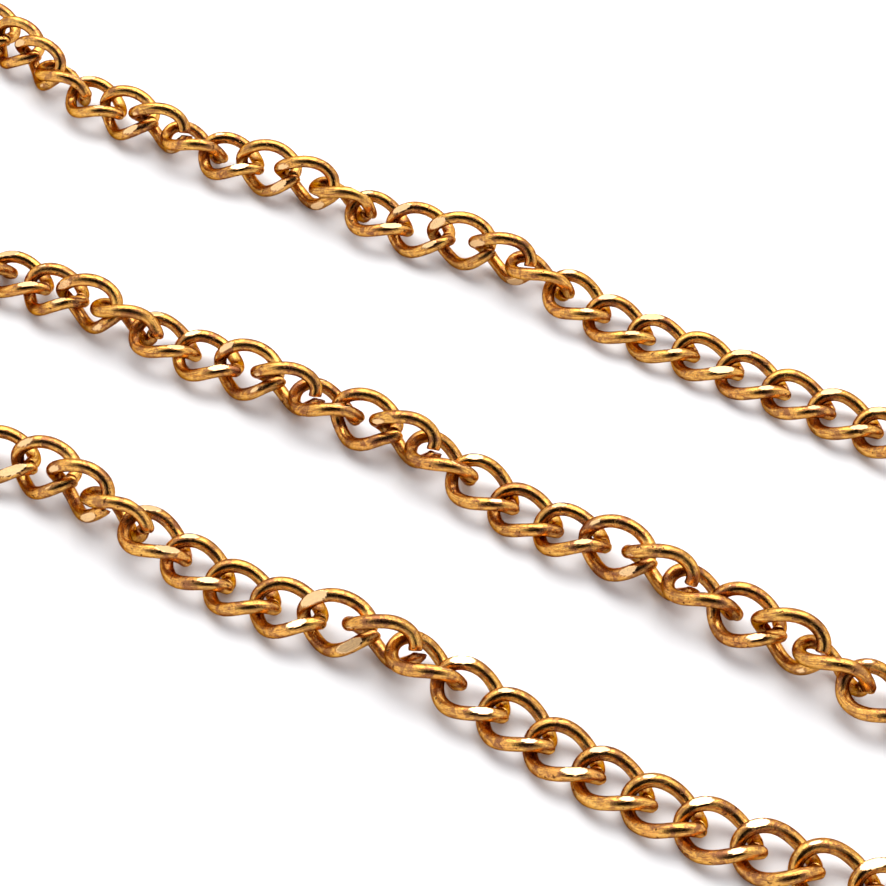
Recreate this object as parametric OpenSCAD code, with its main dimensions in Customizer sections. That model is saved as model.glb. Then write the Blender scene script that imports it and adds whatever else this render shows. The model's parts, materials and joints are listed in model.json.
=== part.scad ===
// Gentleman's pocket watch chain: a twisted curb chain with a T-bar at one end and a swivel
// watch clip at the other, lying loose on a table in three runs joined by two turns.
// Frame: +X along the runs, +Y from the near run to the far one, +Z up, and the table at Z = 0.
// Link 1 carries the T-bar, and the last link carries the clip.

/* [Link] */
// Wire diameter of a link
wire_d = 1.04; // [1:0.01:1.06]
// Length of a link from centre to centre of the wire at its two ends
link_length = 5.44; // [5.42:0.01:5.5]
// Width of a link from centre to centre of the wire at its two sides
link_width = 4; // [3.95:0.01:4.1]
// Angle that a link is twisted through from end to end
link_twist = 78; // [74:1:82]
// Spacing of two neighbouring links that lie alike
link_pitch = 4.12; // [4.06:0.01:4.14]

/* [Jump rings] */
// Wire diameter of the two jump rings
ring_wire_d = 0.9; // [0.8:0.01:0.94]
// Mean diameter of the two jump rings
ring_d = 4.4; // [4.2:0.05:4.8]

/* [T-bar] */
// Length of the T-bar over its end balls
t_bar_length = 24; // [20:1:28]
// Diameter of the bar that passes through a buttonhole
t_bar_d = 2.2; // [2:0.1:2.4]
// Diameter of the balls on the ends of the bar
t_bar_ball_d = 3; // [2.8:0.1:3.2]
// Mean diameter of the eye soldered to the bar
t_eye_d = 3; // [2.9:0.02:3.06]

/* [Watch clip] */
// Outer diameter of the swivel barrel
barrel_d = 3.6; // [3.6:0.1:4]
// Length of the swivel barrel
barrel_length = 4; // [4:0.1:4.6]
// Diameter of the wire that the hook is bent from
hook_wire_d = 1.9; // [1.8:0.05:2]
// Width of the space inside the hook
hook_inside_w = 5.4; // [5.2:0.1:5.8]
// Length of the straight side of the hook
hook_straight = 6.4; // [6:0.1:7]

/* [Hidden] */
wire_r = wire_d / 2;
half_length = link_length / 2;
half_width = link_width / 2;
// Sides and rings of the swept wire of one link
wire_sides = 8;
link_rings = 14;
brass = "#b5852f";
brass_worn = "#c79a45";

// ---- How the chain lies ------------------------------------------------------------------
// The route of the chain's centre line from the T-bar to the clip: the near run, the left
// turn, the middle run, the right turn and the far run.
near_route = [
    [84, -15.4], [72, -15], [60, -15.4], [50, -16.8], [34, -18.9],
    [13, -17.4], [0, -18.7], [-15, -18], [-22, -17.4]
];
left_turn = [[-31, -18.9], [-40.2, -20.6], [-47.2, -17.6], [-50.3, -10.9], [-47.4, -4], [-40.8, -0.9]];
middle_route = [
    [-33, -0.8], [-25, -0.5], [-14, 0.1], [0, 0.6],
    [13, -0.5], [24, -0.6], [34, -1.4], [44, -2.2]
];
right_turn = [[51.2, -0.4], [56.4, 4.4], [57.9, 11.8], [54.8, 18.5], [48.2, 22.2], [40, 22.9]];
far_route = [
    [32, 22.4], [18, 22.4], [6, 22.2], [-5, 23], [-17, 22], [-24, 22.2],
    [-36, 21.4], [-50, 21.8], [-61, 24.4], [-72, 27], [-96, 32]
];
// Middle of the whole chain's outline, which the frame's origin lies under
outline_middle = [-10.84, 3.58];
way_points = concat(near_route, left_turn, middle_route, right_turn, far_route);
route = [for (p = way_points) p - outline_middle];

// How each link is rolled about the chain's own line, in degrees, read from left to right.
// A link at 0 lies flat, one at 40 opens towards the front, and one at 100 stands on edge.
near_rolls = [
    35, 75, 115, 165, 175, 180, 190, 220, 275, 330,
    360, 360, 360, 360, 360, 365, 365, 365, 365
];
middle_rolls = [
    0, 15, 70, 120, 170, 185, 220, 275, 335, 395, 450,
    510, 540, 540, 540, 580, 635, 690, 740, 795, 850, 900
];
far_rolls = [
    40, 80, 135, 180, 220, 275, 330, 370, 410, 445, 490, 540,
    570, 605, 635, 680, 720, 720, 720, 720, 720, 720, 720, 720
];
left_turn_links = 12;
right_turn_links = 13;
// Least roll gained over each turn, and the further roll of the link at each end of the chain
left_turn_roll = 150;
right_turn_roll = 90;
end_roll = 10;

function last(list) = list[len(list) - 1];
function reversed(list) = [for (k = [len(list) - 1 : -1 : 0]) list[k]];
function negated(list) = [for (v = list) -v];
function raised(list, by) = [for (v = list) v + by];
// Whole half turns that bring a roll up to the next one at or above a value
function lift_to(value, least) = 180 * ceil((least - value) / 180);
function even_steps(from, to, n) = [for (k = [1 : n]) from + (to - from) * k / (n + 1)];

// Rolls in the chain's own order. The near and far runs are followed from right to left.
rolls_near_run = negated(reversed(near_rolls));
middle_run_least = last(rolls_near_run) + left_turn_roll;
rolls_middle_run = raised(middle_rolls, lift_to(middle_rolls[0], middle_run_least));
rolls_far_plain = negated(reversed(far_rolls));
far_run_least = last(rolls_middle_run) + right_turn_roll;
rolls_far_run = raised(rolls_far_plain, lift_to(rolls_far_plain[0], far_run_least));
link_rolls = concat(
    [rolls_near_run[0] - end_roll],
    rolls_near_run,
    even_steps(last(rolls_near_run), rolls_middle_run[0], left_turn_links),
    rolls_middle_run,
    even_steps(last(rolls_middle_run), rolls_far_run[0], right_turn_links),
    rolls_far_run,
    [last(rolls_far_run) + end_roll]
);
link_count = len(link_rolls);

// Two links rolled far apart bind sooner, and so do links in a turn, so they sit closer together:
// by the first amount for every 60 degrees of roll, squared, and by the second in a turn.
roll_shortening = 0.45;
turn_shortening = 0.09;
first_left_turn_link = len(near_rolls) + 1;
first_right_turn_link = first_left_turn_link + left_turn_links + len(middle_rolls);
function within(i, first, n) = i >= first - 1 && i <= first + n;
function in_turn(i) =
    within(i, first_left_turn_link, left_turn_links)
    || within(i, first_right_turn_link, right_turn_links);
function spacing(i) =
    link_pitch - roll_shortening * pow((link_rolls[i + 1] - link_rolls[i]) / 60, 2)
    - (in_turn(i) ? turn_shortening : 0);
// Distance along the route to the first link
link_start = 29.4;
function running_sum(list, start) = [
    for (k = 0, s = start; k <= len(list); s = s + (k < len(list) ? list[k] : 0), k = k + 1)
        s
];
spacings = [for (i = [0 : link_count - 2]) spacing(i)];
link_distance = running_sum(spacings, link_start);

// The route as a smooth curve through its points, and the point at a distance along it
function blend_point(a, b, c, d, t) =
    (2 * b + (c - a) * t + (2 * a - 5 * b + 4 * c - d) * t * t + (3 * b - a - 3 * c + d) * t * t * t) / 2;
steps_per_span = 8;
curve = [
    for (i = [0 : len(route) - 2])
        for (k = [0 : steps_per_span - 1])
            blend_point(
                route[max(i - 1, 0)], route[i], route[i + 1],
                route[min(i + 2, len(route) - 1)], k / steps_per_span
            )
];
curve_gaps = [for (i = [0 : len(curve) - 2]) norm(curve[i + 1] - curve[i])];
curve_distance = running_sum(curve_gaps, 0);
curve_x = [for (i = [0 : len(curve) - 1]) [curve_distance[i], curve[i].x]];
curve_y = [for (i = [0 : len(curve) - 1]) [curve_distance[i], curve[i].y]];

ring_r = ring_d / 2;
ring_wire_r = ring_wire_d / 2;
// Rolls of the jump rings and the swivel loop about the chain's line, each crossing its neighbours
t_ring_roll = -38;
clip_ring_roll = 35;
bail_roll = -40;
t_eye_r = t_eye_d / 2;
t_eye_wire_r = 0.4;
table_gap = 0.03;
t_ring_height = t_eye_r + t_eye_wire_r + table_gap;
clip_ring_height = barrel_d / 2;

// Height of a link's centre when it lies on the table at a given roll
rest_steps = [for (t = [5 : 10 : 175]) t];
function rest_height(roll) =
    wire_r + half_width * max([for (t = rest_steps) abs(sin(t) * sin(roll - link_twist / 2 * cos(t)))]);
flat_heights = [for (roll = link_rolls) rest_height(roll)];
// Heights along the chain with the two jump rings, one before the first link and one after the last
function with_rings(list) = concat([t_ring_height], list, [clip_ring_height]);
function neighbour_mean(list, i) = (with_rings(list)[i] + with_rings(list)[i + 2]) / 2;
function neighbour_slope(list, i) = (with_rings(list)[i + 2] - with_rings(list)[i]) / (2 * link_pitch);
// A low link between two high ones is carried part of the way up by them.
neighbour_lift = 0.7;
link_heights = [
    for (i = [0 : link_count - 1])
        flat_heights[i] + neighbour_lift * max(0, neighbour_mean(flat_heights, i) - flat_heights[i])
];
// A tilted link is lifted so that its lower end clears the table.
tilt_reach = 0.7 * half_length;
function on_route(distance, height) = [lookup(distance, curve_x), lookup(distance, curve_y), height];
link_centres = [
    for (i = [0 : link_count - 1])
        on_route(
            link_distance[i],
            link_heights[i] + tilt_reach * abs(neighbour_slope(link_heights, i)) + table_gap
        )
];

// Play left between two loops that pull on each other
loop_play = 0.12;
ring_reach = half_length - wire_r + ring_r - ring_wire_r - loop_play;
t_ring_at = link_distance[0] - ring_reach;
clip_ring_at = last(link_distance) + ring_reach;
t_ring_centre = on_route(t_ring_at, t_ring_height);
clip_ring_centre = on_route(clip_ring_at, clip_ring_height);

function unit(v) = v / norm(v);
// Centres along the chain with a jump ring before the first link and after the last
chain_centres = concat([t_ring_centre], link_centres, [clip_ring_centre]);
function link_along(i) = unit(chain_centres[i + 2] - chain_centres[i]);
function link_side(i) = unit(cross([0, 0, 1], link_along(i)));
function link_up(i) = cross(link_along(i), link_side(i));
// Unit vector across the wire plane of link i at an angle about the link's long axis
function link_across(i, angle) = cos(angle) * link_side(i) + sin(angle) * link_up(i);

// ---- How the fittings lie ----------------------------------------------------------------
bail_r = 1.9;
bail_wire_r = 0.5;
t_eye_at = t_ring_at - (ring_r + t_eye_r - ring_wire_r - t_eye_wire_r - loop_play);
bail_at = clip_ring_at + ring_r + bail_r - ring_wire_r - bail_wire_r - loop_play;
t_eye_centre = on_route(t_eye_at, t_ring_height);
bail_centre = on_route(bail_at, clip_ring_height);
// Headings on the table, in degrees, of the chain's line at each end
function heading(from, to) = atan2(to.y - from.y, to.x - from.x);
t_heading = heading(t_eye_centre, t_ring_centre);
clip_heading = heading(clip_ring_centre, bail_centre);

// Puts a child, drawn with +X along the chain and +Z up, at a place on the table.
module lay(centre, direction) {
    translate(centre)
        rotate([0, 0, direction])
            children();
}

// ---- Joints between links ----------------------------------------------------------------
// The wire at the end of link i that faces link i + 1, and at the start of link i + 1:
// its middle point and the direction of the wire there.
function end_point(i) = link_centres[i] + half_length * link_along(i);
function end_axis(i) = link_across(i, link_rolls[i] - link_twist / 2);
function start_point(i) = link_centres[i] - half_length * link_along(i);
function start_axis(i) = link_across(i, link_rolls[i] + link_twist / 2);

// ---- One link ----------------------------------------------------------------------------
// A point of the link's twisted oval, in its own frame with X along the link
function oval_point(t) =
    let (turn = -link_twist / 2 * cos(t))
    [half_length * cos(t), half_width * sin(t) * cos(turn), half_width * sin(t) * sin(turn)];
function oval_direction(t) = unit(oval_point(t + 1) - oval_point(t - 1));
// Across the wire at the same point, away from the link's centre
function oval_outward(t) =
    let (
        p = oval_point(t),
        d = oval_direction(t),
        n = [p.x / pow(half_length, 2), p.y / pow(half_width, 2), p.z / pow(half_width, 2)]
    )
    unit(n - (n * d) * d);
// A point of the wire's surface: t goes round the link and s round the wire.
function wire_point(t, s) =
    let (n = oval_outward(t), b = cross(oval_direction(t), n))
    oval_point(t) + wire_r * (cos(s) * n + sin(s) * b);
// A point of link i's own frame, where that link lies
function placed(i, p) =
    link_centres[i] + p.x * link_along(i)
    + p.y * link_across(i, link_rolls[i]) + p.z * link_across(i, link_rolls[i] + 90);

module link(i) {
    points = [
        for (k = [0 : link_rings - 1])
            for (j = [0 : wire_sides - 1])
                placed(i, wire_point(360 * k / link_rings, 360 * j / wire_sides))
    ];
    function corner(k, j) = (k % link_rings) * wire_sides + j % wire_sides;
    faces = [
        for (k = [0 : link_rings - 1])
            for (j = [0 : wire_sides - 1])
                each [
                    [corner(k, j), corner(k + 1, j + 1), corner(k, j + 1)],
                    [corner(k, j), corner(k + 1, j), corner(k + 1, j + 1)]
                ]
    ];
    polyhedron(points, faces, convexity = 4);
}

// ---- Groups of links ---------------------------------------------------------------------
// The near run's links are nodes of their own. Further back they share a node in twos, and in
// the far run in threes, which keeps the number of nodes in bounds.
single_links = 20;
pair_groups = 21;
group_sizes = concat(
    [for (k = [1 : single_links]) 1],
    [for (k = [1 : pair_groups]) 2],
    [for (k = [1 : (link_count - single_links - 2 * pair_groups) / 3]) 3]
);
group_first = running_sum(group_sizes, 0);
function two_digits(n) = n < 10 ? str("0", n) : str(n);
function group_name(g) = group_sizes[g] == 1
    ? str("link_", two_digits(group_first[g] + 1))
    : str("links_", two_digits(group_first[g] + 1), "_", two_digits(group_first[g] + group_sizes[g]));
link_nodes = [for (g = [0 : len(group_sizes) - 1]) group_name(g)];

module link_group(g) {
    color(brass)
        for (i = [group_first[g] : group_first[g] + group_sizes[g] - 1])
            link(i);
}

// ---- Rings and T-bar ---------------------------------------------------------------------
// A round ring of round wire whose plane holds X and is rolled about it
module wire_ring(mean_r, wire_r, roll) {
    rotate([roll, 0, 0])
        rotate_extrude($fn = 64)
            translate([mean_r, 0])
                circle(r = wire_r, $fn = 32);
}

module t_bar_ring() {
    color(brass)
        lay(t_ring_centre, t_heading)
            wire_ring(ring_r, ring_wire_r, t_ring_roll);
}

module t_bar_eye() {
    color(brass)
        lay(t_eye_centre, t_heading)
            wire_ring(t_eye_r, t_eye_wire_r, 90);
}

// The bar lies on its two end balls, behind the eye, and the eye's wire is let into it.
t_bar_r = t_bar_d / 2;
t_ball_r = t_bar_ball_d / 2;
collar_rise = 0.3;
collar_r = t_bar_r + collar_rise;
collar_half = 1.1;
// Distance from the eye's centre to the bar's axis
eye_to_bar = t_eye_r + t_bar_r;
bar_rise = t_ring_height - t_ball_r;
bar_back = sqrt(pow(eye_to_bar, 2) - pow(bar_rise, 2));
module t_bar() {
    color(brass_worn)
        lay(t_eye_centre, t_heading)
            difference() {
                translate([-bar_back, 0, -bar_rise])
                    rotate([90, 0, 0])
                        bar_body();
                wire_ring(t_eye_r, t_eye_wire_r, 90);
            }
}
module bar_body() {
    ball_centre = t_bar_length / 2 - t_ball_r;
    cylinder(r = t_bar_r, h = 2 * ball_centre, center = true, $fn = 48);
    cylinder(r = collar_r, h = 2 * collar_half, center = true, $fn = 48);
    for (side = [-1, 1])
        translate([0, 0, side * ball_centre])
            sphere(r = t_ball_r, $fn = 48);
}

// ---- Watch clip --------------------------------------------------------------------------
// All of it is drawn in one frame: X along the swivel's axis from the barrel's open end,
// the hook lying in the plane Z = 0.
barrel_r = barrel_d / 2;
post_r = 0.65;
post_play = 0.07;
// How far the post runs into the loop's wire and into its own head
post_root = 0.2;
post_into_head = 0.3;
mouth_wall = 1;
head_r = 1.08;
head_length = 1.1;
head_gap = 0.05;
cavity_r = head_r + 0.08;
cavity_end = mouth_wall + head_length + 0.4;
bail_gap = 0.45;
bail_to_barrel = bail_r + bail_wire_r + bail_gap;
post_out = bail_gap + 2 * bail_wire_r - post_root;
hook_r = hook_wire_d / 2;
hook_bend_r = hook_inside_w / 2 + hook_r;
corner_bend_r = 1.35 * hook_r;
base_x = barrel_length + 0.5 * hook_r;
front_x = base_x + hook_straight;
tip_length = 0.7;
// The gate turns on a knuckle between two cheeks of the hook.
pivot_x = base_x + 0.3;
knuckle_r = 1.15;
knuckle_half = 0.5;
cheek_r = knuckle_r + 0.05;
gate_room = knuckle_half + 0.06;
room_r = knuckle_r + 0.15;
room_half = gate_room + 0.02;
pin_r = 0.4;
pin_play = 0.05;
gate_r = 0.8;
tip_gap = 0.15;
gate_end_x = front_x - tip_length - tip_gap;
// The gate is as thin as its knuckle over this length and full round beyond it.
gate_neck = knuckle_r + 0.35;
// Two coils of spring wire in a hollow of the knuckle
coil_half = 0.2;
hollow_r = knuckle_r - 0.25;
spring_wire_r = 0.09;
spring_r = 0.6;
// Longer than anything that a cutter or a limit has to reach past
beyond = 20;

module clip_frame() {
    lay(bail_centre, clip_heading)
        translate([bail_to_barrel, 0, 0])
            children();
}

module clip_ring() {
    color(brass)
        lay(clip_ring_centre, clip_heading)
            wire_ring(ring_r, ring_wire_r, clip_ring_roll);
}

// The swivel loop, with the post and head that turn inside the barrel
module swivel_bail() {
    color(brass_worn) clip_frame() {
        translate([-bail_to_barrel, 0, 0])
            wire_ring(bail_r, bail_wire_r, bail_roll);
        translate([-post_out, 0, 0])
            along_x(post_r, post_out + mouth_wall + post_into_head);
        translate([mouth_wall + head_gap, 0, 0])
            along_x(head_r, head_length);
    }
}

module along_x(r, length) {
    rotate([0, 90, 0])
        cylinder(r = r, h = length, $fn = 48);
}
module along_y(r, length) {
    rotate([-90, 0, 0])
        cylinder(r = r, h = length, $fn = 48);
}

module clip_body() {
    color(brass_worn) clip_frame()
        difference() {
            union() {
                along_x(barrel_r, barrel_length);
                hook_bend();
                pivot_cheeks();
            }
            translate([-mouth_wall, 0, 0])
                along_x(post_r + post_play, 2 * mouth_wall + post_into_head);
            translate([mouth_wall, 0, 0])
                along_x(cavity_r, cavity_end - mouth_wall);
            at_pivot() {
                upright(room_r, 2 * room_half);
                upright(pin_r, 4 * hook_r);
            }
            // Room for the gate where it leaves the knuckle, closed and open
            translate([pivot_x, hook_bend_r - 2 * gate_r, -gate_room])
                cube([2.5 * cheek_r, 4 * cheek_r, 2 * gate_room]);
        }
}
module at_pivot() {
    translate([pivot_x, hook_bend_r, 0])
        children();
}
module upright(r, height) {
    cylinder(r = r, h = height, center = true, $fn = 48);
}
// Base, bent corner, straight side, half-round front and tip of the hook
module hook_bend() {
    translate([base_x, corner_bend_r - hook_bend_r, 0])
        along_y(hook_r, 2 * hook_bend_r - knuckle_r - corner_bend_r);
    translate([base_x + corner_bend_r, corner_bend_r - hook_bend_r, 0])
        rotate([0, 0, 180])
            rotate_extrude(angle = 90, $fn = 96)
                translate([corner_bend_r, 0])
                    circle(r = hook_r, $fn = 48);
    translate([base_x + corner_bend_r, -hook_bend_r, 0])
        along_x(hook_r, hook_straight - corner_bend_r);
    translate([front_x, 0, 0])
        rotate([0, 0, -90])
            rotate_extrude(angle = 180, $fn = 96)
                translate([hook_bend_r, 0])
                    circle(r = hook_r, $fn = 32);
    translate([front_x - tip_length, hook_bend_r, 0])
        along_x(hook_r, tip_length);
}
module pivot_cheeks() {
    at_pivot()
        upright(cheek_r, 2 * hook_r);
}

module clip_gate() {
    color(brass) clip_frame()
        at_pivot()
            difference() {
                union() {
                    upright(knuckle_r, 2 * knuckle_half);
                    intersection() {
                        along_x(gate_r, gate_end_x - pivot_x);
                        gate_limits();
                    }
                }
                upright(pin_r + pin_play, beyond);
                upright(hollow_r, 2 * coil_half);
            }
}
// A thin slab beside the knuckle, and the whole space beyond the gate's neck
module gate_limits() {
    translate([0, -gate_neck, -knuckle_half])
        cube([2 * gate_neck, 2 * gate_neck, 2 * knuckle_half]);
    translate([gate_neck, -beyond, -beyond])
        cube(2 * beyond);
}

module gate_pin() {
    color(brass_worn) clip_frame()
        at_pivot()
            upright(pin_r, 2 * hook_r);
}

module gate_spring() {
    color("silver") clip_frame()
        at_pivot()
            for (side = [-1, 1])
                translate([0, 0, side * (spring_wire_r + 0.005)])
                    rotate_extrude($fn = 48)
                        translate([spring_r, 0])
                            circle(r = spring_wire_r, $fn = 16);
}

t_bar();
t_bar_eye();
t_bar_ring();
clip_ring();
swivel_bail();
clip_body();
clip_gate();
gate_pin();
gate_spring();
for (g = [0 : len(group_sizes) - 1])
    link_group(g);
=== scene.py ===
"""A brass pocket watch chain on a pale floor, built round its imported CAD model."""

import json
import math

import bpy
import numpy as np
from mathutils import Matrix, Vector


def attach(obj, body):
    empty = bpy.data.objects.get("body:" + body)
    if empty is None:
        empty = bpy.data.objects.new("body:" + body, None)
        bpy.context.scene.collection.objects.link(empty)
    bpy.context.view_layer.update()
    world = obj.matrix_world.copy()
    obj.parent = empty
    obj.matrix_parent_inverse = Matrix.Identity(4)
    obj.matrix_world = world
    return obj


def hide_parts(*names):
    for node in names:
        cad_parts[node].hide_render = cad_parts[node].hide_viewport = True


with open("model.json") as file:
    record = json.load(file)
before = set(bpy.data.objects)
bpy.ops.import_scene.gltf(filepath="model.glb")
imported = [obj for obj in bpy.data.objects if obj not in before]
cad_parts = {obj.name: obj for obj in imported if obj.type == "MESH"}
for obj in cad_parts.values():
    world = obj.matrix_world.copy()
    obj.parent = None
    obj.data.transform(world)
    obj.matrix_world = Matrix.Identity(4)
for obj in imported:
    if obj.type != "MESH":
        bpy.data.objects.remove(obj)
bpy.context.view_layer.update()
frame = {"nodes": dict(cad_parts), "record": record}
NODES = frame["nodes"]
BODY_OF = {
    node: body for body, nodes in frame["record"]["behaviour"]["bodies"].items() for node in nodes
}

# ---- Sizes of the CAD pieces that are drawn afresh, in metres ---------------------------
HALF_LENGTH = 0.00272
HALF_WIDTH = 0.0020
WIRE_R = 0.00052
TWIST = math.radians(78)
# Height of a link's highest point over its own middle plane, where its faces are ground
LINK_TOP = 0.001175
RING_R = 0.0022
RING_WIRE_R = 0.00045
EYE_R = 0.0015
EYE_WIRE_R = 0.0004
BAR_R = 0.0011
BALL_R = 0.0015
COLLAR_R = 0.0014
COLLAR_HALF = 0.0011
BARREL_R = 0.0018
BAND_R = 0.00017

# ---- Camera ------------------------------------------------------------------------------
CAMERA_AZIMUTH = math.radians(33.2)
CAMERA_ELEVATION = math.radians(44.9)
CAMERA_DISTANCE = 0.1922
CAMERA_TARGET = Vector((0.01344, -0.00158, 0.002))
CAMERA_LENS_MM = 100
SENSOR_WIDTH_MM = 36


def direction(azimuth, elevation):
    """Unit vector towards a place seen at an azimuth and elevation, in radians."""
    flat = math.cos(elevation)
    return Vector((math.sin(azimuth) * flat, -math.cos(azimuth) * flat, math.sin(elevation)))


def make_camera():
    """The photograph's viewing angle, level and without roll."""
    back = direction(CAMERA_AZIMUTH, CAMERA_ELEVATION)
    data = bpy.data.cameras.new("camera")
    data.lens = CAMERA_LENS_MM
    data.sensor_width = SENSOR_WIDTH_MM
    data.clip_start = 0.01
    data.clip_end = 20
    camera = bpy.data.objects.new("camera", data)
    bpy.context.scene.collection.objects.link(camera)
    camera.location = CAMERA_TARGET + back * CAMERA_DISTANCE
    camera.rotation_mode = "QUATERNION"
    camera.rotation_quaternion = (-back).to_track_quat("-Z", "Y")
    bpy.context.scene.camera = camera


# ---- Node helpers ------------------------------------------------------------------------
class Tree:
    """A node tree with short calls to add and join nodes."""

    def __init__(self, tree):
        self.tree = tree
        self.tree.nodes.clear()

    def add(self, kind, **settings):
        node = self.tree.nodes.new(kind)
        for name, value in settings.items():
            setattr(node, name, value)
        return node

    def join(self, source, target):
        self.tree.links.new(source, target)

    def set(self, socket, value):
        """Links value to the socket if it is a socket, or sets it."""
        if isinstance(value, bpy.types.NodeSocket):
            self.join(value, socket)
        else:
            socket.default_value = value

    def math(self, operation, a, b=0.0, clamp=False):
        node = self.add("ShaderNodeMath", operation=operation, use_clamp=clamp)
        self.set(node.inputs[0], a)
        self.set(node.inputs[1], b)
        return node.outputs[0]

    def ramp(self, value, low, high, to_low=0.0, to_high=1.0):
        """Smooth step of value from low to high."""
        node = self.add("ShaderNodeMapRange", interpolation_type="SMOOTHSTEP")
        for socket, v in zip(node.inputs, (value, low, high, to_low, to_high)):
            self.set(socket, v)
        return node.outputs[0]

    def mix(self, factor, a, b, blend="MIX"):
        node = self.add("ShaderNodeMix", data_type="RGBA", blend_type=blend)
        self.set(node.inputs["Factor"], factor)
        self.set(node.inputs[6], a)
        self.set(node.inputs[7], b)
        return node.outputs[2]

    def noise(self, vector, scale, detail=3.0, roughness=0.55, distortion=0.0):
        node = self.add("ShaderNodeTexNoise")
        self.set(node.inputs["Vector"], vector)
        node.inputs["Scale"].default_value = scale
        node.inputs["Detail"].default_value = detail
        node.inputs["Roughness"].default_value = roughness
        node.inputs["Distortion"].default_value = distortion
        return node.outputs["Fac"]

    def scaled(self, vector, scale):
        node = self.add("ShaderNodeVectorMath", operation="MULTIPLY")
        self.set(node.inputs[0], vector)
        node.inputs[1].default_value = scale
        return node.outputs[0]


def colour(r, g, b):
    return (r, g, b, 1.0)


# ---- World and lights --------------------------------------------------------------------
SKY = colour(0.95, 0.96, 1.0)
CAMERA_SIDE = colour(0.022, 0.016, 0.014)
BESIDE_CAMERA = colour(0.006, 0.004, 0.004)
SOFTBOX = colour(2.2, 2.2, 2.2)
SKY_STRENGTH = 1.34
LIGHT_DISTANCE = 0.6
WARM_WHITE = (1.0, 0.99, 0.97)
FILL_WHITE = (1.0, 0.98, 0.97)


def make_world():
    """A pale studio with a dark zone on the camera's side, which the metal mirrors."""
    world = bpy.data.worlds.new("studio")
    bpy.context.scene.world = world
    world.use_nodes = True
    t = Tree(world.node_tree)
    ray = t.add("ShaderNodeTexCoord").outputs["Generated"]

    def lobe(azimuth, elevation, inner, outer):
        """1 within the inner angle of a direction, 0 outside the outer one, in degrees."""
        dot = t.add("ShaderNodeVectorMath", operation="DOT_PRODUCT")
        t.join(ray, dot.inputs[0])
        dot.inputs[1].default_value = direction(math.radians(azimuth), math.radians(elevation))
        return t.ramp(
            dot.outputs["Value"], math.cos(math.radians(outer)), math.cos(math.radians(inner))
        )

    shade = t.mix(lobe(azimuth=33, elevation=44, inner=31, outer=48), SKY, CAMERA_SIDE)
    shade = t.mix(lobe(azimuth=33, elevation=47, inner=14, outer=22), shade, BESIDE_CAMERA)
    shade = t.mix(lobe(azimuth=205, elevation=62, inner=12, outer=34), shade, SOFTBOX)
    background = t.add("ShaderNodeBackground")
    t.join(shade, background.inputs["Color"])
    background.inputs["Strength"].default_value = SKY_STRENGTH
    output = t.add("ShaderNodeOutputWorld")
    t.join(background.outputs[0], output.inputs["Surface"])


def make_light(name, azimuth, elevation, size, energy, tint):
    """A square lamp facing the origin from an azimuth and elevation in degrees."""
    data = bpy.data.lights.new(name, "AREA")
    data.shape = "SQUARE"
    data.size = size
    data.energy = energy
    data.color = tint
    light = bpy.data.objects.new(name, data)
    bpy.context.scene.collection.objects.link(light)
    toward = direction(math.radians(azimuth), math.radians(elevation))
    light.location = toward * LIGHT_DISTANCE
    light.rotation_mode = "QUATERNION"
    light.rotation_quaternion = toward.to_track_quat("Z", "Y")


def make_floor():
    """A wide pale sheet with a faint cloudiness and grain."""
    size = 2.0
    mesh = bpy.data.meshes.new("floor")
    corners = [(-size, -size, 0), (size, -size, 0), (size, size, 0), (-size, size, 0)]
    mesh.from_pydata(corners, [], [(0, 1, 2, 3)])
    floor = bpy.data.objects.new("floor", mesh)
    bpy.context.scene.collection.objects.link(floor)
    material = bpy.data.materials.new("floor_white")
    material.use_nodes = True
    t = Tree(material.node_tree)
    place = t.add("ShaderNodeTexCoord").outputs["Object"]
    cloud = t.ramp(t.noise(place, 18.0, 2.0), 0.3, 0.7)
    grain = t.noise(place, 2600.0, 2.0)
    shader = t.add("ShaderNodeBsdfPrincipled")
    t.join(
        t.mix(cloud, colour(0.838, 0.838, 0.848), colour(0.844, 0.844, 0.854)),
        shader.inputs["Base Color"],
    )
    t.join(t.ramp(grain, 0.3, 0.7, 0.62, 0.74), shader.inputs["Roughness"])
    shader.inputs["Specular IOR Level"].default_value = 0.1
    output = t.add("ShaderNodeOutputMaterial")
    t.join(shader.outputs[0], output.inputs["Surface"])
    mesh.materials.append(material)


# ---- Materials ---------------------------------------------------------------------------
GOLD = colour(0.93, 0.54, 0.135)
DEEP_GOLD = colour(0.62, 0.28, 0.055)
COPPER_GOLD = colour(0.74, 0.34, 0.085)
GROUND_GOLD = colour(0.92, 0.62, 0.33)
TARNISH = colour(0.26, 0.10, 0.045)
EDGE_TINT = colour(0.5, 0.27, 0.15)
# Painted shade: dark brown laid on the inner side of a link's ends, where the next link sits and
# shade falls
PAINTED_CROOK_SHADE = colour(0.19, 0.055, 0.015)
PIT_SHADE = colour(0.08, 0.026, 0.012)


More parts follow.
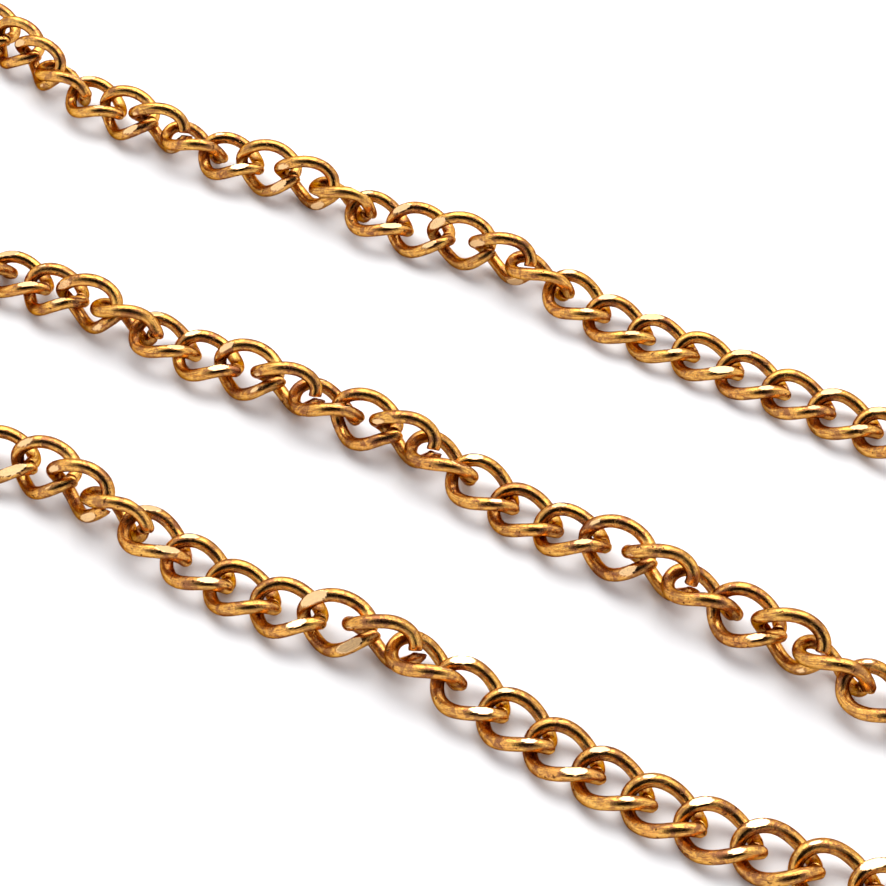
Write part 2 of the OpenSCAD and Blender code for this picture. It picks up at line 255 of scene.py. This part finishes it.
def brass(name, wire_coordinates, tarnish=0.5, streaks=1.0):
    """Old lacquered brass: golden, browned in blotches, with drawn streaks and small pits, and on
    chain wire painted shade at the inner side of each link's ends.
    """
    material = bpy.data.materials.new(name)
    material.use_nodes = True
    t = Tree(material.node_tree)
    place = t.add("ShaderNodeTexCoord").outputs["Object"]
    if wire_coordinates:
        wire = t.add("ShaderNodeAttribute", attribute_name="wire").outputs["Vector"]
        crook_shade_mask = t.add("ShaderNodeAttribute", attribute_name="crook_shade_mask").outputs["Fac"]
        ground = t.add("ShaderNodeAttribute", attribute_name="ground").outputs["Fac"]
        rim = t.add("ShaderNodeAttribute", attribute_name="rim").outputs["Fac"]
        along = t.scaled(wire, (1.3, 1.3, 0.2))
    else:
        wire = t.scaled(place, (1500.0, 1500.0, 1500.0))
        crook_shade_mask = 0.0
        ground = 0.0
        rim = 0.0
        along = wire

    blotches = t.noise(place, 1100.0, 6.0, 0.66, 0.5)
    fine = t.noise(place, 5200.0, 3.0, 0.6)
    stains = t.noise(place, 330.0, 3.0, 0.5)
    lines = t.noise(along, 3.4, 5.0, 0.7)
    rubbed = t.math("SUBTRACT", 1.0, t.math("MULTIPLY", ground, 0.85))

    brown = t.ramp(blotches, 0.45, 0.59)
    brown = t.math("MULTIPLY", brown, t.ramp(stains, 0.32, 0.62, 0.4, 1.0))
    brown = t.math("ADD", brown, t.math("MULTIPLY", t.ramp(lines, 0.52, 0.66), 0.7))
    brown = t.math("MULTIPLY", brown, tarnish * 1.5, clamp=True)
    brown = t.math("MULTIPLY", brown, rubbed)
    base = t.mix(t.ramp(lines, 0.32, 0.62), GOLD, DEEP_GOLD)
    base = t.mix(t.ramp(stains, 0.40, 0.75), base, COPPER_GOLD)
    base = t.mix(t.math("MULTIPLY", t.ramp(fine, 0.50, 0.62), 0.3), base, TARNISH)
    base = t.mix(brown, base, TARNISH)
    # Painted shade darkens the inner side of each link's ends, where the links meet.
    base = t.mix(t.math("MULTIPLY", crook_shade_mask, 0.82), base, PAINTED_CROOK_SHADE)
    base = t.mix(t.math("MULTIPLY", rim, 0.7), base, TARNISH)
    base = t.mix(t.math("MULTIPLY", ground, 0.75), base, GROUND_GOLD)
    pits = t.ramp(t.noise(place, 2300.0, 2.0, 0.5), 0.66, 0.72)
    pits = t.math("MULTIPLY", pits, rubbed)
    base = t.mix(t.math("MULTIPLY", pits, 0.85), base, PIT_SHADE)

    rough = t.ramp(fine, 0.35, 0.7, 0.08, 0.17)
    rough = t.math("ADD", rough, t.math("MULTIPLY", brown, 0.14))
    rough = t.math("ADD", rough, t.math("MULTIPLY", pits, 0.25), clamp=True)

    height = t.math("MULTIPLY", lines, 0.75 * streaks)
    height = t.math("ADD", height, t.math("MULTIPLY", fine, 0.2))
    height = t.math("ADD", height, t.math("MULTIPLY", blotches, 0.4))
    height = t.math("SUBTRACT", height, t.math("MULTIPLY", pits, 0.6))
    height = t.math("MULTIPLY", height, rubbed)
    bump = t.add("ShaderNodeBump")
    bump.inputs["Strength"].default_value = 0.48
    bump.inputs["Distance"].default_value = 0.00005
    t.join(height, bump.inputs["Height"])

    shader = t.add("ShaderNodeBsdfPrincipled")
    shader.inputs["Metallic"].default_value = 1.0
    shader.inputs["Specular Tint"].default_value = EDGE_TINT
    t.join(base, shader.inputs["Base Color"])
    t.join(rough, shader.inputs["Roughness"])
    t.join(bump.outputs[0], shader.inputs["Normal"])
    output = t.add("ShaderNodeOutputMaterial")
    t.join(shader.outputs[0], output.inputs["Surface"])
    return material


# ---- Links -------------------------------------------------------------------------------
RINGS = 150
SIDES = 32


def islands(mesh):
    """The separate closed solids of a mesh, each as an array of its distinct points."""
    points = np.empty(len(mesh.vertices) * 3)
    mesh.vertices.foreach_get("co", points)
    points = points.reshape(-1, 3)
    keys = [tuple(k) for k in np.round(points * 1e6).astype(int)]
    owner = {}

    def root(k):
        while owner.setdefault(k, k) != k:
            k = owner[k]
        return k

    for polygon in mesh.polygons:
        corners = [keys[v] for v in polygon.vertices]
        for other in corners[1:]:
            owner[root(other)] = root(corners[0])
    groups = {}
    for k in set(keys):
        groups.setdefault(root(k), []).append(k)
    found = [np.array(sorted(g), float) / 1e6 for g in groups.values()]
    return sorted(found, key=lambda g: tuple(g.mean(0)))


def link_axes(points):
    """Centre and axes of a link: X along it, pointing to +X or away from the camera, and Z up."""
    centre = points.mean(0)
    offsets = points - centre
    vectors = np.linalg.eigh(offsets.T @ offsets)[1]
    along = vectors[:, 2]
    up = vectors[:, 0]
    if along @ np.array((1.0, 0.15, 0.0)) < 0:
        along = -along
    if up @ np.array((0.05, -0.1, 1.0)) < 0:
        up = -up
    side = np.cross(up, along)
    return centre, np.stack([along, side, up])


class Loop:
    """The shape of one closed wire: an oval or round loop, twisted or flat."""

    def __init__(self, half_length, half_width, wire_r, twist=0.0, top=None):
        self.half_length = half_length
        self.half_width = half_width
        self.wire_r = wire_r
        self.twist = twist
        self.top = top

    def path(self, t):
        """Points of the loop at angles t, in its own frame."""
        turn = -self.twist / 2 * np.cos(t)
        across = self.half_width * np.sin(t)
        along = self.half_length * np.cos(t)
        return np.stack([along, across * np.cos(turn), across * np.sin(turn)], -1)


LINK = Loop(HALF_LENGTH, HALF_WIDTH, WIRE_R, TWIST, LINK_TOP)
# Depths that the faces of a link are ground to, in metres
GROUND_DEPTHS = (0.00001, 0.00004, 0.00007, 0.00011)
# Height of the browned rim below a ground flat, in metres
RIM_WIDTH = 0.00004
# How far a wire end springs out of line at its joint, in metres
END_SPRING = (0.00022, 0.00046)
# How far the other end is tucked in, and the most that the ends miss each other sideways
END_TUCK = 0.00008
END_STEP = 0.00007
# Angles round the loop of the cut's place, half its gap and the sprung stretch beside it
CUT_SPREAD_DEG = 8
HALF_GAP_DEG = 1.8
SPRUNG_DEG = 38
# How far an imperfect loop strays from its true line, and the wire's thickness from its own
SWAY = 0.000022
UNEVENNESS = 0.008
# Thickness of the wire's ends after shearing, and the slant of the cuts, as shares
PINCH = 0.88
CUT_SLANT = (0.05, 0.3)
# Steepest slope of a ground flat
FLAT_LEAN = 0.05


def normalised(v):
    return v / np.linalg.norm(v, axis=-1, keepdims=True)


def loop_mesh(loop, rng):
    """Points, faces, sharp edges and surface values of one loop with its butt joint."""
    # The wire is cut near the loop's +X end, and its near end springs out of the joint a little.
    cut = math.radians(rng.uniform(-CUT_SPREAD_DEG, CUT_SPREAD_DEG))
    gap = math.radians(HALF_GAP_DEG)
    t = np.linspace(cut + gap, cut + 2 * math.pi - gap, RINGS)
    p = loop.path(t)
    d = normalised(loop.path(t + 0.01) - loop.path(t - 0.01))
    widths = np.array([loop.half_length, loop.half_width, loop.half_width])
    gradient = p / widths**2
    n = normalised(gradient - (gradient * d).sum(-1, keepdims=True) * d)
    b = np.cross(d, n)

    reach = math.radians(SPRUNG_DEG)
    to_start = np.clip(1 - (t - t[0]) / reach, 0, 1) ** 2
    to_end = np.clip(1 - (t[-1] - t) / reach, 0, 1) ** 2
    spring = rng.uniform(*END_SPRING) * loop.wire_r / WIRE_R
    step = rng.uniform(-END_STEP, END_STEP)
    p = p + n * (to_end * spring)[:, None] - n * (to_start * END_TUCK)[:, None]
    p = p + b * ((to_end - to_start) * step)[:, None]
    # The loop isn't bent perfectly.
    for k in (1, 2, 3):
        sway = np.sin(k * t + rng.uniform(0, 2 * math.pi)) * SWAY / k
        p = p + n * sway[:, None]

    s = np.linspace(0, 2 * math.pi, SIDES, endpoint=False)
    radius = np.full((RINGS, SIDES), loop.wire_r)
    for _ in range(5):
        wave = np.sin(
            rng.integers(2, 9) * t[:, None]
            + rng.integers(0, 3) * s[None, :]
            + rng.uniform(0, 2 * math.pi)
        )
        radius *= 1 + UNEVENNESS * wave
    # The shears leave each end a little pinched.
    radius[0] *= PINCH
    radius[-1] *= PINCH
    across = np.cos(s)[None, :, None] * n[:, None, :] + np.sin(s)[None, :, None] * b[:, None, :]
    points = p[:, None, :] + radius[:, :, None] * across
    # The cuts are slanted.
    slant = rng.uniform(*CUT_SLANT)
    points[0] += d[0] * (slant * loop.wire_r * np.cos(s))[:, None]
    points[-1] += d[-1] * (slant * loop.wire_r * np.cos(s))[:, None]

    # Both faces of the chain are ground, which leaves an oval flat at each high spot.
    ground = np.zeros((RINGS, SIDES), bool)
    rim = np.zeros((RINGS, SIDES), bool)
    if loop.top:
        for sign in (1, -1):
            for half in (1, -1):
                flat = loop.top - rng.choice(GROUND_DEPTHS)
                lean = rng.uniform(-FLAT_LEAN, FLAT_LEAN, 2)
                level = flat + lean[0] * points[..., 0] + lean[1] * points[..., 1]
                high = (points[..., 2] * sign > level) & (points[..., 0] * half > 0)
                rim |= (points[..., 2] * sign > level - RIM_WIDTH) & (points[..., 0] * half > 0)
                points[..., 2] = np.where(high, level * sign, points[..., 2])
                ground |= high

    rows = np.arange(RINGS * SIDES).reshape(RINGS, SIDES)
    following = np.roll(rows, -1, axis=1)
    quads = np.stack([rows[1:], following[1:], following[:-1], rows[:-1]], -1).reshape(-1, 4)
    faces = quads.tolist()
    faces.append(rows[0].tolist())
    faces.append(rows[-1][::-1].tolist())

    # The rims of the cut ends and of the flats are sharp.
    beside = np.roll(ground, -1, axis=1)
    flats = ground[1:] & beside[1:] & ground[:-1] & beside[:-1]
    sharp = [np.stack([rows[k], following[k]], -1) for k in (0, RINGS - 1)]
    crossing = flats[1:] != flats[:-1]
    sharp.append(np.stack([rows[1:-1][crossing], following[1:-1][crossing]], -1))
    crossing = flats != np.roll(flats, 1, axis=1)
    sharp.append(np.stack([rows[:-1][crossing], rows[1:][crossing]], -1))

    steps = np.linalg.norm(np.diff(p, axis=0), axis=1)
    length = np.concatenate([[0], np.cumsum(steps)]) / loop.wire_r
    wire = np.empty((RINGS, SIDES, 3))
    wire[..., 0] = np.cos(s)[None, :]
    wire[..., 1] = np.sin(s)[None, :]
    wire[..., 2] = length[:, None] + rng.uniform(0, 1000)
    # A mask for painted shade: the inner side of the loop's ends, where the next link lies.
    inside = np.clip(-np.cos(s), 0, 1)[None, :]
    ends = np.abs(np.cos(t))[:, None] ** 5
    crook_shade_mask = ends * inside**0.8
    return {
        "points": points.reshape(-1, 3),
        "faces": faces,
        "sharp": np.concatenate(sharp),
        "wire": wire.reshape(-1, 3),
        "crook_shade_mask": crook_shade_mask.reshape(-1),
        "ground": ground.reshape(-1).astype(float),
        "rim": (rim & ~ground).reshape(-1).astype(float),
    }


def add_piece(name, mesh, material, node, replaces=True):
    """Adds a mesh to the scene as a piece that moves with a CAD node's body."""
    mesh.materials.append(material)
    piece = bpy.data.objects.new(name, mesh)
    bpy.context.scene.collection.objects.link(piece)
    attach(piece, BODY_OF[node])
    if replaces:
        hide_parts(node)
    return piece


def build_loops(node, loop, material, number):
    """One piece with every loop of a CAD node, each made afresh in its solid's place."""
    parts = []
    faces = []
    sharp = []
    offset = 0
    for k, solid in enumerate(islands(NODES[node].data)):
        rng = np.random.default_rng(1000 * number + k)
        centre, axes = link_axes(solid)
        part = loop_mesh(loop, rng)
        part["points"] = part["points"] @ axes + centre
        parts.append(part)
        faces += [[v + offset for v in f] for f in part["faces"]]
        sharp.append(part["sharp"] + offset)
        offset += len(part["points"])
    mesh = bpy.data.meshes.new(node + "_wire")
    mesh.from_pydata(np.concatenate([p["points"] for p in parts]).tolist(), [], faces)
    wires = np.concatenate([p["wire"] for p in parts]).astype(np.float32)
    mesh.attributes.new("wire", "FLOAT_VECTOR", "POINT").data.foreach_set("vector", wires.ravel())
    for name in ("crook_shade_mask", "ground", "rim"):
        values = np.concatenate([p[name] for p in parts]).astype(np.float32)
        mesh.attributes.new(name, "FLOAT", "POINT").data.foreach_set("value", values)
    mesh.shade_smooth()
    mark_sharp(mesh, np.concatenate(sharp))
    return add_piece(node + "_wire", mesh, material, node)


def mark_sharp(mesh, pairs):
    """Marks the edges between the given pairs of points as sharp."""
    ends = np.empty(len(mesh.edges) * 2, int)
    mesh.edges.foreach_get("vertices", ends)
    ends = np.sort(ends.reshape(-1, 2), axis=1)
    wanted = np.sort(pairs, axis=1)
    count = len(mesh.vertices)
    flags = np.isin(ends[:, 0] * count + ends[:, 1], wanted[:, 0] * count + wanted[:, 1])
    mesh.attributes.new("sharp_edge", "BOOLEAN", "EDGE").data.foreach_set("value", flags)


# ---- Turned fittings ---------------------------------------------------------------------
TURNED_SIDES = 96


def turned_mesh(name, profile, centre, axis, ring=False):
    """A solid of revolution from (distance along the axis, radius) points.

    A ring's profile is a closed outline off the axis. Any other is capped at its two ends.
    """
    axis = Vector(axis).normalized()
    side = axis.orthogonal().normalized()
    other = axis.cross(side)
    points = []
    for x, r in profile:
        for k in range(TURNED_SIDES):
            a = 2 * math.pi * k / TURNED_SIDES
            points.append(centre + axis * x + side * (r * math.cos(a)) + other * (r * math.sin(a)))
    faces = []
    for i in range(len(profile) if ring else len(profile) - 1):
        for k in range(TURNED_SIDES):
            m = (k + 1) % TURNED_SIDES
            a, b = i * TURNED_SIDES, (i + 1) % len(profile) * TURNED_SIDES
            faces.append((a + k, b + k, b + m, a + m))
    faces = [tuple(reversed(f)) for f in faces]
    if not ring:
        last = (len(profile) - 1) * TURNED_SIDES
        faces.append(tuple(range(TURNED_SIDES)))
        faces.append(tuple(reversed(range(last, last + TURNED_SIDES))))
    mesh = bpy.data.meshes.new(name)
    mesh.from_pydata([tuple(p) for p in points], [], faces)
    mesh.shade_smooth()
    mesh.set_sharp_from_angle(angle=math.radians(32))
    return mesh


def arc(x, r, bulge_r, start, end, n=14):
    """Profile points of a round bulge, between two angles in degrees from the axis."""
    found = []
    for k in range(n + 1):
        a = math.radians(start + (end - start) * k / n)
        found.append((x - bulge_r * math.cos(a), r + bulge_r * math.sin(a)))
    return found


def build_t_bar(material):
    """The bar with a bead beside each end ball and a grooved collar at the eye."""
    points = np.array([v.co for v in NODES["t_bar"].data.vertices])
    centre = (points.max(0) + points.min(0)) / 2
    vectors = np.linalg.eigh((points - centre).T @ (points - centre))[1]
    axis = vectors[:, 2]
    reach = np.abs((points - centre) @ axis).max()
    # The middle of the bar's ends along its own axis, which the eye's notch doesn't move
    ends = points[np.abs((points - centre) @ axis) > 0.8 * reach]
    centre = Vector((ends.max(0) + ends.min(0)) / 2)
    ball_x = reach - BALL_R
    groove = 0.00004
    # From the middle of the collar outwards: groove, raised edge, bar, bead, neck and ball
    half = [(0.0, COLLAR_R - groove)]
    half += [(0.00028, COLLAR_R - groove), (0.00034, COLLAR_R - 4 * groove), (0.00042, COLLAR_R)]
    half += [(0.00088, COLLAR_R), (0.00102, COLLAR_R - 2 * groove), (COLLAR_HALF, BAR_R)]
    half += [(0.004, BAR_R * 0.98), (ball_x - 0.0024, BAR_R * 0.94)]
    half += arc(ball_x - 0.0019, BAR_R * 0.9, 0.00028, 0, 180)
    neck = math.degrees(math.asin(0.86 * BAR_R / BALL_R))
    half += arc(ball_x, 0.0, BALL_R, neck, 179, 28)
    profile = [(-x, r) for x, r in reversed(half[1:])] + half
    mesh = turned_mesh("t_bar_turned", profile, centre, axis)
    add_piece("t_bar_turned", mesh, material, "t_bar")


def build_barrel_bands(material):
    """Three raised bands round the swivel barrel."""
    swivel = next(j for j in frame["record"]["behaviour"]["joints"] if j["name"] == "clip_swivel")
    start = Vector(swivel["pos_m"])
    axis = Vector(swivel["axis"])
    for number, x in enumerate((0.0004, 0.0010, 0.0034)):
        profile = arc(x, BARREL_R - 0.00006, BAND_R, 0, 180, 12)
        # The band's foot is let into the barrel's wall.
        profile += [(x + BAND_R, BARREL_R - 0.0002), (x - BAND_R, BARREL_R - 0.0002)]
        mesh = turned_mesh(f"barrel_band_{number + 1}", profile, start, axis, ring=True)
        add_piece(mesh.name, mesh, material, "clip_body", replaces=False)


# ---- Scene -------------------------------------------------------------------------------
make_camera()
make_world()
make_light("key", azimuth=163, elevation=66, size=0.45, energy=1.2, tint=WARM_WHITE)
make_light("fill", azimuth=250, elevation=58, size=0.3, energy=0.6, tint=FILL_WHITE)
make_floor()

chain_brass = brass("chain_brass", True, tarnish=0.62, streaks=1.3)
fitting_brass = brass("fitting_brass", False, tarnish=0.35)
link_nodes = sorted(n for n in NODES if n.startswith("link"))
for number, node in enumerate(link_nodes):
    build_loops(node, LINK, chain_brass, number)

jump_ring = Loop(RING_R, RING_R, RING_WIRE_R)
t_eye = Loop(EYE_R, EYE_R, EYE_WIRE_R)
for number, (node, loop) in enumerate(
    (("t_bar_ring", jump_ring), ("clip_ring", jump_ring), ("t_bar_eye", t_eye))
):
    build_loops(node, loop, chain_brass, len(link_nodes) + number)
build_t_bar(fitting_brass)
build_barrel_bands(fitting_brass)
for node in ("swivel_bail", "clip_body", "clip_gate", "gate_pin", "gate_spring"):
    NODES[node].data.materials.clear()
    NODES[node].data.materials.append(fitting_brass)

scene = bpy.context.scene
scene.view_settings.view_transform = "Standard"
scene.view_settings.look = "None"
